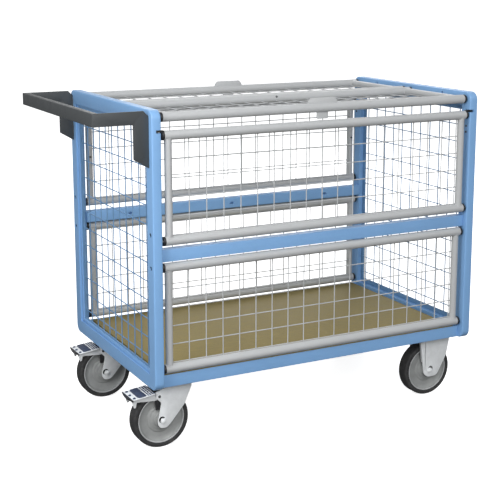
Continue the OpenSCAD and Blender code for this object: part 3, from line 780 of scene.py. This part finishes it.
def latch_tongues(bm, y):
    """Flat tongues on the upper plugs of the tube at y, reaching into the column notches."""
    s = 1 if y > 0 else -1
    reach = NOTCH_REACH - 2 * MM
    root = TUBE_GAP - 0.3 * MM
    for x1, x2 in ((INNER_LEFT - reach, INNER_LEFT + root), (INNER_RIGHT - root, INNER_RIGHT + reach)):
        low_y, high_y = sorted((y + s * 8 * MM, y - s * 5 * MM))
        block(bm, (x1, low_y, NOTCH_LEVEL - 2 * MM), (x2, high_y, NOTCH_LEVEL + 2 * MM), 0.6 * MM)


def lift_tab(side):
    """Lift tab in the middle plane of the outer lid tube: plate above, tongue below, weld beads."""
    low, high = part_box(f"{side}_lid_tab")
    middle = (low.x + high.x) / 2
    half = (high.x - low.x) / 2
    tongue = 18 * MM
    shoulder = high.z - 8 * MM
    edge = TUBE + 0.05 * MM
    bend = 7 * MM
    plate = [(-half, LID_Z + edge, MM), (half, LID_Z + edge, MM), (half - 2 * MM, shoulder, bend),
             (half - 9 * MM, high.z, bend), (9 * MM - half, high.z, bend), (2 * MM - half, shoulder, bend)]
    leaf = [(-tongue, low.z, 4 * MM), (tongue, low.z, 4 * MM), (tongue, LID_Z - edge, MM),
            (-tongue, LID_Z - edge, MM)]
    bm = bmesh.new()
    for outline in (plate, leaf):
        outline = [(middle + x, z, radius) for x, z, radius in outline]
        prism(bm, fillet(outline, 0, 5), "y", low.y, high.y, 0.5 * MM)
    for way, width in ((1, half), (-1, tongue)):
        reach = width - 4 * MM
        z = LID_Z + way * (TUBE + 0.2 * MM)
        for face in (low.y, high.y):
            line_bead(bm, (middle - reach, face, z), (middle + reach, face, z), 1.1 * MM)
    piece(f"{side}_lift_tab", bm, "silver", f"{side}_lid", [f"{side}_lid_tab"])


def panels():
    """Lower panels, flaps and lid leaves of both sides, with their plugs."""
    for side in ("front", "rear"):
        for kind in ("lower_panel", "flap", "lid"):
            place, span = panel_place(kind, side)
            bm = panel_mesh(span)
            bmesh.ops.transform(bm, matrix=place, verts=bm.verts)
            node = f"{side}_{kind}"
            body = "cage" if kind == "lower_panel" else node
            piece(f"{node}_frame", bm, "silver", body, [node], 40)

    caps = bmesh.new()
    for s in (-1, 1):
        for z in (LOWER_Z, LOWER_Z + SPAN):
            plug(caps, s * LOWER_Y, z, True)
    piece("lower_panel_caps", caps, "black", "cage", ["lower_plugs"])
    for s, side in SIDES:
        caps = bmesh.new()
        plug(caps, s * FLAP_Y, FLAP_Z, True)
        plug(caps, s * FLAP_Y, FLAP_Z + SPAN, False)
        latch_tongues(caps, s * FLAP_Y)
        piece(f"{side}_flap_caps", caps, "black", f"{side}_flap", [f"{side}_flap_plugs"])
        caps = bmesh.new()
        plug(caps, s * LID_Y, LID_Z, False)
        plug(caps, s * LID_MIDDLE, LID_Z, True)
        piece(f"{side}_lid_caps", caps, "black", f"{side}_lid", [f"{side}_lid_plugs"])
        lift_tab(side)


def screw(bm, place, way):
    """Low domed screw head with a drive recess, standing on a surface and facing along way."""
    profile = [(0.9, 0.6), (1.0, 1.5), (1.9, 1.6), (2.9, 1.1), (3.4, 0.2), (3.4, -0.6), (0.9, -0.6)]
    stud(bm, profile, place, way)


def stud(bm, profile, place, way):
    """Small turned part from an outline of (radius, level) in millimetres, facing along way."""
    local = bmesh.new()
    turned(local, millimetres(profile), (0, 0, 0), "z", 24)
    turn = Vector(way).to_track_quat("Z", "Y").to_matrix().to_4x4()
    join(bm, local, Matrix.Translation(place) @ turn)


def screws():
    """Small dark screws: on the columns' inner faces, the flap uprights and the lid's middle tube."""
    heads = bmesh.new()
    for s in (-1, 1):
        for level in SCREW_LEVELS:
            for x, way in ((INNER_LEFT, 1), (INNER_RIGHT, -1)):
                screw(heads, (x, s * (SIDE - SCREW_INSET), level), (way, 0, 0))
    piece("column_screws", heads, "graphite", "cage")
    for s, side in SIDES:
        heads = bmesh.new()
        for x in (INNER_LEFT + UPRIGHT_X, INNER_RIGHT - UPRIGHT_X):
            screw(heads, (x, s * (FLAP_Y - UPRIGHT), FLAP_Z + SPAN / 2), (0, -s, 0))
        piece(f"{side}_flap_screws", heads, "graphite", f"{side}_flap")
    heads = bmesh.new()
    way = Vector((0, -0.9, 0.44)).normalized()
    screw(heads, Vector((MIDDLE, -LID_MIDDLE, LID_Z)) + way * TUBE, way)
    piece("front_lid_screw", heads, "graphite", "front_lid")


# ---------------------------------------- handle
def push_handle():
    """Push handle: box-section bar and two L-shaped arm plates, with their weld beads."""
    low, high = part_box("handle_bar")
    bm = bmesh.new()
    block(bm, low, high, 2.0 * MM, 3)
    for s in (-1, 1):
        y = s * high.y
        for x in (low.x + MM, high.x):
            line_bead(bm, (x, y, low.z + 3 * MM), (x, y, high.z - 3 * MM), 1.2 * MM)
    piece("push_bar", bm, "graphite", "cage", ["handle_bar"])
    for side in ("front", "rear"):
        low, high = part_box(f"{side}_handle_arm")
        under, leg = high.z - ARM_DEPTH, high.x - ARM_LEG
        outline = [(low.x, under), (leg, under), (leg, low.z + ARM_SLANT), (high.x, low.z),
                   (high.x, high.z - ARM_CUT), (high.x - ARM_CUT, high.z), (low.x, high.z)]
        bm = bmesh.new()
        prism(bm, fillet(outline, 2.0 * MM, 4), "y", low.y, high.y, 0.9 * MM)
        x, y = high.x - 0.5 * MM, high.y if side == "front" else low.y
        for z1, z2 in ((low.z + 12 * MM, low.z + 52 * MM), (high.z - 60 * MM, high.z - 20 * MM)):
            line_bead(bm, (x, y, z1), (x, y, z2), 1.5 * MM)
        piece(f"{side}_arm", bm, "graphite", "cage", [f"{side}_handle_arm"])


# ---------------------------------------- castors
def castor_plate(bm):
    """Castor plate with rounded corners, about the castor's own centre."""
    x, y = PLATE_HALF
    outline = fillet([(-x, -y), (x, -y), (x, y), (-x, y)], 9 * MM, 6)
    prism(bm, outline, "z", PLATE_TOP - PLATE_THICK, PLATE_TOP - 0.02 * MM, 0.8 * MM)


def cheek(outline, s, radius, hole, slit=None):
    """One fork cheek on side s, with its axle hole at (x, z) and a slit from (x, z) to (x, z)."""
    bm = bmesh.new()
    y1, y2 = sorted((s * FORK_HALF, s * (FORK_HALF - FORK_PLATE)))
    prism(bm, fillet(outline, radius, 6), "y", y1, y2, 0.9 * MM)
    cutter = bmesh.new()
    rod(cutter, (hole[0], y1 - MM, hole[1]), (hole[0], y2 + MM, hole[1]), HOLE_IN_CHEEK, 32)
    if slit:
        block(cutter, (slit[0], y1 - MM, slit[1]), (slit[2], y2 + MM, slit[3]))
    return carve(bm, cutter)


# fork cheeks as corners (x, z, corner radius) in millimetres, about the castor's own centre, and
# the slit of a fixed cheek from (x, z) to (x, z) in metres
SWIVEL_CHEEK = [(37, 172, 1), (37, 166, 3), (16, 118, 30), (-28, 67, 16), (-38, 59.5, 12), (-56, 58.5, 12),
                (-64, 74, 16), (-52, 130, 8), (-68, 147, 4), (-70, 162, 8), (-40, 172, 4)]
FIXED_CHEEK = [(-35, 183, 1), (70, 183, 1), (70, 166, 4), (60, 120, 30), (30, 66, 18), (21, 59.5, 14),
               (-8, 59.5, 14), (-21, 72, 16), (-35, 168, 30)]
FIXED_SLIT = (-18 * MM, 84 * MM, -15.6 * MM, 178 * MM)


def millimetres(points):
    """Points given in millimetres, in metres."""
    return [tuple(value * MM for value in point) for point in points]


def swivel_castor(s, side):
    """Swivel castor of one side: head with races, fork, axle bolt, black seal discs as painted shade,
    wheel and brake.
    """
    centre = Vector((SWIVEL_X, s * CASTOR_Y, 0))
    bm = bmesh.new()
    castor_plate(bm)
    race = [(6.05, 175.5), (33, 175.5), (33, 178), (38, 178.4), (39.2, 181), (38.6, 184.1), (6.05, 184.1)]
    turned(bm, millimetres(race), (0, 0, 0), "z", 64)
    bmesh.ops.translate(bm, vec=centre, verts=bm.verts)
    piece(f"{side}_swivel_head", bm, "zinc", "cage", [f"{side}_swivel_plate"])

    bm = bmesh.new()
    hole = (-TRAIL - HOLE_SHIFT, AXLE_Z + HOLE_SHIFT)
    for way in (-1, 1):
        join(bm, cheek(millimetres(SWIVEL_CHEEK), way, 4 * MM, hole))
    crown = [(-40, 172.2), (37, 172.2), (37, 167, 2), (33, 166), (-36, 166), (-40, 168, 2)]
    prism(bm, fillet(millimetres(crown), 1.5 * MM, 3), "y", -FORK_HALF + MM, FORK_HALF - MM)
    bowl = [(6.05, 166.1), (30, 166.1), (31, 172), (30.2, 174.4), (28.6, 175), (6.05, 175)]
    turned(bm, millimetres(bowl), (0, 0, 0), "z", 64)
    bmesh.ops.translate(bm, vec=centre, verts=bm.verts)
    body = f"{side}_swivel"
    piece(f"{side}_swivel_yoke", bm, "zinc", body, [f"{side}_swivel_fork"])

    wheel = centre + Vector((-TRAIL, 0, AXLE_Z))
    bm = bmesh.new()
    axle(bm, wheel)
    piece(f"{side}_swivel_bolt", bm, "zinc", body, [f"{side}_swivel_axle"])
    bm = bmesh.new()
    # black seal discs: painted shade seen through the cheek holes
    shade_discs(bm, wheel)
    piece(f"{side}_swivel_shade_discs", bm, "black", body)
    wheel_pieces(f"{side}_swivel", wheel)
    brake(side, centre)


def fixed_castors():
    """Fixed castors of both sides."""
    bolts = bmesh.new()
    discs = bmesh.new()
    for s, side in SIDES:
        centre = Vector((FIXED_X, s * CASTOR_Y, 0))
        bm = bmesh.new()
        castor_plate(bm)
        hole = (HOLE_SHIFT, AXLE_Z + HOLE_SHIFT)
        for way in (-1, 1):
            join(bm, cheek(millimetres(FIXED_CHEEK), way, 4 * MM, hole, FIXED_SLIT))
            y1, y2 = sorted((way * (FORK_HALF - MM), way * (FORK_HALF - 9 * MM)))
            flange = [(-35.5, 183), (-32, 183), (-23, 108), (-26.6, 108)]
            prism(bm, fillet(millimetres(flange), 0.8 * MM, 3), "y", y1, y2)
        block(bm, (-35 * MM, -FORK_HALF + MM, 178 * MM), (70 * MM, FORK_HALF - MM, 184.1 * MM), 0.8 * MM)
        bmesh.ops.translate(bm, vec=centre, verts=bm.verts)
        piece(f"{side}_fixed_yoke", bm, "zinc", "cage", [f"{side}_fixed_fork"])
        wheel = centre + Vector((0, 0, AXLE_Z))
        axle(bolts, wheel)
        shade_discs(discs, wheel)
        wheel_pieces(f"{side}_fixed", wheel)
    piece("fixed_bolts", bolts, "zinc", "cage", ["fixed_axles"])
    # black seal discs of the fixed castors: painted shade behind the cheek holes
    piece("fixed_shade_discs", discs, "black", "cage")


def axle(bm, centre):
    """Axle bolt through the wheel: shaft, and a stepped domed head on each side."""
    reach = FORK_HALF + 2 * MM
    rod(bm, centre - Vector((0, reach, 0)), centre + Vector((0, reach, 0)), 6 * MM, 24, 0.8 * MM)
    head = [(0.3, 6.6), (3.5, 6.4), (5.6, 5.4), (6.2, 4.2), (7.9, 3.8), (8.1, 3.0), (8.1, -0.6),
            (0.3, -0.6)]
    for s in (-1, 1):
        stud(bm, head, centre + Vector((0, s * FORK_HALF, 0)), (0, s, 0))


def shade_discs(bm, centre):
    """Black seal discs between the fork cheeks and the wheel's boss; their black paints the shade seen
    through the cheek holes.
    """
    for s in (-1, 1):
        ring = [(6.05, s * 26.6), (13.4, s * 26.6), (13.4, s * 27.2), (6.05, s * 27.2)]
        turned(bm, millimetres(ring), centre, "y", 40)


def both_faces(*half):
    """Closed outline of (radius, level) from its outer half, mirrored to the wheel's other face."""
    return list(half) + [(radius, -level) for radius, level in reversed(half)]


def wheel_pieces(name, centre):
    """Wheel body with a stepped boss and a dished disc, a rim ring with a painted highlight, and the solid
    tyre.
    """
    hub = both_faces((6.05, 26.5), (13.6, 26.5), (15, 25.2), (15.6, 21), (20.4, 20.2), (21.8, 19),
                     (22.4, 16.4), (28.6, 15.2), (30.2, 14.2), (30.8, 12.6), (36.6, 11.8), (38.2, 10.8),
                     (39, 9.4), (50, 9.4), (58, 10.6), (61.4, 12.8), (63.4, 16.6))
    rim = both_faces((63.4, 16.4), (64.2, 17.9), (65.4, 18.3), (66.5, 17.9), (67, 16.8))
    tyre = both_faces((67, 16.8), (67.4, 18.2), (69, 19), (75.4, 19), (77.4, 18.7), (78.9, 17.4),
                      (79.7, 15.4), (80, 13))
    body = f"{name}_wheel"
    for label, profile, look, slot, nodes in (
            ("disc", hub, "grey", "grey_plastic", [f"{name}_hub"]),
            # the rim ring's lighter grey plastic is a painted highlight
            ("rim", rim, "rim", "grey_plastic", []),
            ("tread", tyre, "rubber", "rubber", [f"{name}_tyre"])):
        bm = bmesh.new()
        turned(bm, millimetres(profile), centre, "y", 112)
        piece(f"{name}_{label}", bm, look, body, nodes, 30)


def tread_place():
    """Matrix of the sloping tread plate's own axes: origin at its edge, X along it."""
    edge = Vector((TREAD_EDGE[0], 0, TREAD_EDGE[1]))
    return Matrix.Translation(edge) @ Matrix.Rotation(-TREAD_SLOPE, 4, "Y")


def brake(side, centre):
    """Foot brake: lever, ribbed pad, pivot rivets, and the black lip with the shoes."""
    body = f"{side}_brake"
    for name, make, look, slot, nodes in (
            ("lever", brake_lever, "zinc", "zinc_steel", [f"{side}_brake_lever"]),
            ("tread_pad", tread_pad, "pedal", "rubber", [f"{side}_brake_rubber"]),
            ("pivot_rivets", pivot_rivets, "graphite", "zinc_steel", []),
            ("brake_shoes", lip_and_shoes, "black", "rubber", [])):
        bm = make()
        bmesh.ops.translate(bm, vec=centre, verts=bm.verts)
        piece(f"{side}_{name}", bm, look, body, nodes)


def brake_lever():
    """Two side arms with hooked tips, their pivot pins and the sloping tread plate."""
    arm = [(-49, 142, 3), (-49, 158, 3), (-60, 161, 4), (-84, 160, 4), (-135, 154, 2), (-136, 147, 2),
           (-129, 127, 1), (-124, 128, 1), (-121, 142, 3), (-70, 138, 8)]
    bm = bmesh.new()
    x, z = BRAKE_PIVOT
    for s in (-1, 1):
        y = s * SIDE_ARM_Y
        prism(bm, fillet(millimetres(arm), 2 * MM, 4), "y", y - SIDE_ARM_HALF, y + SIDE_ARM_HALF, 0.6 * MM)
        y = s * PIVOT_PIN_Y
        rod(bm, (x, y - PIVOT_PIN_HALF, z), (x, y + PIVOT_PIN_HALF, z), 2.98 * MM, 20, 0.5 * MM)
    plate = bmesh.new()
    outline = [(-52, -37), (13, -37), (13, 37), (-52, 37)]
    prism(plate, fillet(millimetres(outline), 4 * MM, 5), "z", 0, TREAD_THICK, 0.8 * MM)
    join(bm, plate, tread_place())
    return bm


def tread_pad():
    """Pad on the tread plate: a field with ribs, slim ribs beside it and three outer studs."""
    bm = bmesh.new()
    outline = [(-36, -35, 8), (-12, -35, 2), (-12, 35, 2), (-36, 35, 8)]
    prism(bm, fillet(millimetres(outline), 3 * MM, 6), "z", PAD_FOOT, 4.6 * MM, 0.5 * MM)
    for x in PAD_RIBS:
        block(bm, (x - 1.3 * MM, -32 * MM, PAD_FOOT), (x + 1.3 * MM, 32 * MM, 5.2 * MM), 0.5 * MM)
    for x in SLIM_RIBS:
        block(bm, (x - 1.2 * MM, -35 * MM, PAD_FOOT), (x + 1.2 * MM, 35 * MM, 4.3 * MM), 0.4 * MM)
    dome = millimetres([(0.4, 3), (4.2, 3), (4.0, 4.2), (2.8, 5.4), (0.4, 5.9)])
    for x, y in ((-45, -28), (-47, 0), (-45, 28)):
        turned(bm, dome, (x * MM, y * MM, 0), "z", 24)
    bmesh.ops.transform(bm, matrix=tread_place(), verts=bm.verts)
    return bm


def pivot_rivets():
    """Dark domed rivet heads at the lever's pivot, one on each cheek."""
    bm = bmesh.new()
    dome = [(0.3, 2.2), (2.4, 1.9), (3.8, 0.9), (4.1, 0), (4.1, -0.4), (0.3, -0.4)]
    x, z = BRAKE_PIVOT
    for s in (-1, 1):
        stud(bm, dome, Vector((x, s * (FORK_HALF + 0.5 * MM), z)), (0, s, 0))
    return bm


def lip_and_shoes():
    """Leaf-shaped lip along the tread's outer edge, and a brake shoe beside each side arm."""
    bm = bmesh.new()
    outline = [(-54.2, -40, 0.4), (-52.1, -40, 0.4), (-52.1, 40, 0.4), (-54.2, 40, 0.4), (-57.5, 24, 20),
               (-60, 6, 5), (-60, -6, 5), (-57.5, -24, 20)]
    prism(bm, fillet(millimetres(outline), MM, 5), "z", -MM, 3 * MM, 0.6 * MM)
    bmesh.ops.transform(bm, matrix=tread_place(), verts=bm.verts)
    for s in (-1, 1):
        low, high = sorted((s * 20.1 * MM, s * 25.9 * MM))
        block(bm, (-66 * MM, low, 111 * MM), (-53 * MM, high, 139.5 * MM), 1.2 * MM)
    return bm


def dress_small_parts():
    """Pins, pegs, kingpins and castor bolts keep their CAD shape and get a real material."""
    for node in ("panel_pins", "lid_pivot_pins", "lid_rests", "kingpins", "castor_bolts"):
        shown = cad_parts[node]
        shown.data.materials.clear()
        shown.data.materials.append(LOOKS["steel"])


# ---------------------------------------- studio
def sky():
    """World: a white backdrop, and a soft light that fades from overhead to below."""
    world = bpy.data.worlds.new("studio")
    world.use_nodes = True
    tree = world.node_tree
    light = tree.nodes["Background"]
    light.inputs["Color"].default_value = (0.97, 0.985, 1.0, 1)
    place = tree.nodes.new("ShaderNodeTexCoord").outputs["Generated"]
    split = tree.nodes.new("ShaderNodeSeparateXYZ")
    tree.links.new(place, split.inputs["Vector"])
    strength = remap(tree, split.outputs["Z"], *SKY_HEIGHTS, *SKY_STRENGTHS)
    tree.links.new(strength, light.inputs["Strength"])
    backdrop = tree.nodes.new("ShaderNodeBackground")
    backdrop.inputs["Color"].default_value = (1, 1, 1, 1)
    ray = tree.nodes.new("ShaderNodeLightPath")
    mix = tree.nodes.new("ShaderNodeMixShader")
    tree.links.new(ray.outputs["Is Camera Ray"], mix.inputs["Fac"])
    tree.links.new(light.outputs["Background"], mix.inputs[1])
    tree.links.new(backdrop.outputs["Background"], mix.inputs[2])
    tree.links.new(mix.outputs["Shader"], tree.nodes["World Output"].inputs["Surface"])
    return world


def studio():
    """Pale floor, soft even light and the camera at the photographed angle."""
    scene = bpy.context.scene
    bm = bmesh.new()
    bmesh.ops.create_circle(bm, cap_ends=True, segments=96, radius=60)
    data = bpy.data.meshes.new("floor")
    bm.to_mesh(data)
    bm.free()
    floor = bpy.data.objects.new("floor", data)
    scene.collection.objects.link(floor)
    floor.visible_diffuse = False
    floor.visible_glossy = False
    paint, _, shader, _ = new_material("pale_floor", (0.93, 0.93, 0.93), 0.9)
    shader.inputs["Specular IOR Level"].default_value = 0.1
    shader.inputs["Emission Color"].default_value = (1, 1, 1, 1)
    shader.inputs["Emission Strength"].default_value = 0.80
    data.materials.append(paint)
    scene.world = sky()

    for name, (spot, size, power) in LAMPS.items():
        data = bpy.data.lights.new(name, "AREA")
        data.shape = "DISK"
        data.size = size
        data.energy = power
        lamp = bpy.data.objects.new(name, data)
        lamp.location = spot
        aim = Vector((MIDDLE, 0, 0.5)) - Vector(spot)
        lamp.rotation_euler = aim.to_track_quat("-Z", "Y").to_euler()
        scene.collection.objects.link(lamp)

    data = bpy.data.cameras.new("camera")
    data.lens = CAMERA_LENS
    data.sensor_width = 36
    data.shift_y = CAMERA_SHIFT
    data.clip_end = 200
    camera = bpy.data.objects.new("camera", data)
    camera.location = CAMERA_PLACE
    camera.rotation_euler = (math.radians(90 - CAMERA_PITCH), 0, math.radians(CAMERA_YAW))
    scene.collection.objects.link(camera)
    scene.camera = camera
    scene.view_settings.view_transform = "Standard"


# ---------------------------------------- assembly
LOOKS = make_materials()
studio()
end_frame("left")
end_frame("right")
end_infill("left")
end_infill("right")
rails_and_base()
panels()
screws()
push_handle()
for s, side in SIDES:
    swivel_castor(s, side)
fixed_castors()
dress_small_parts()
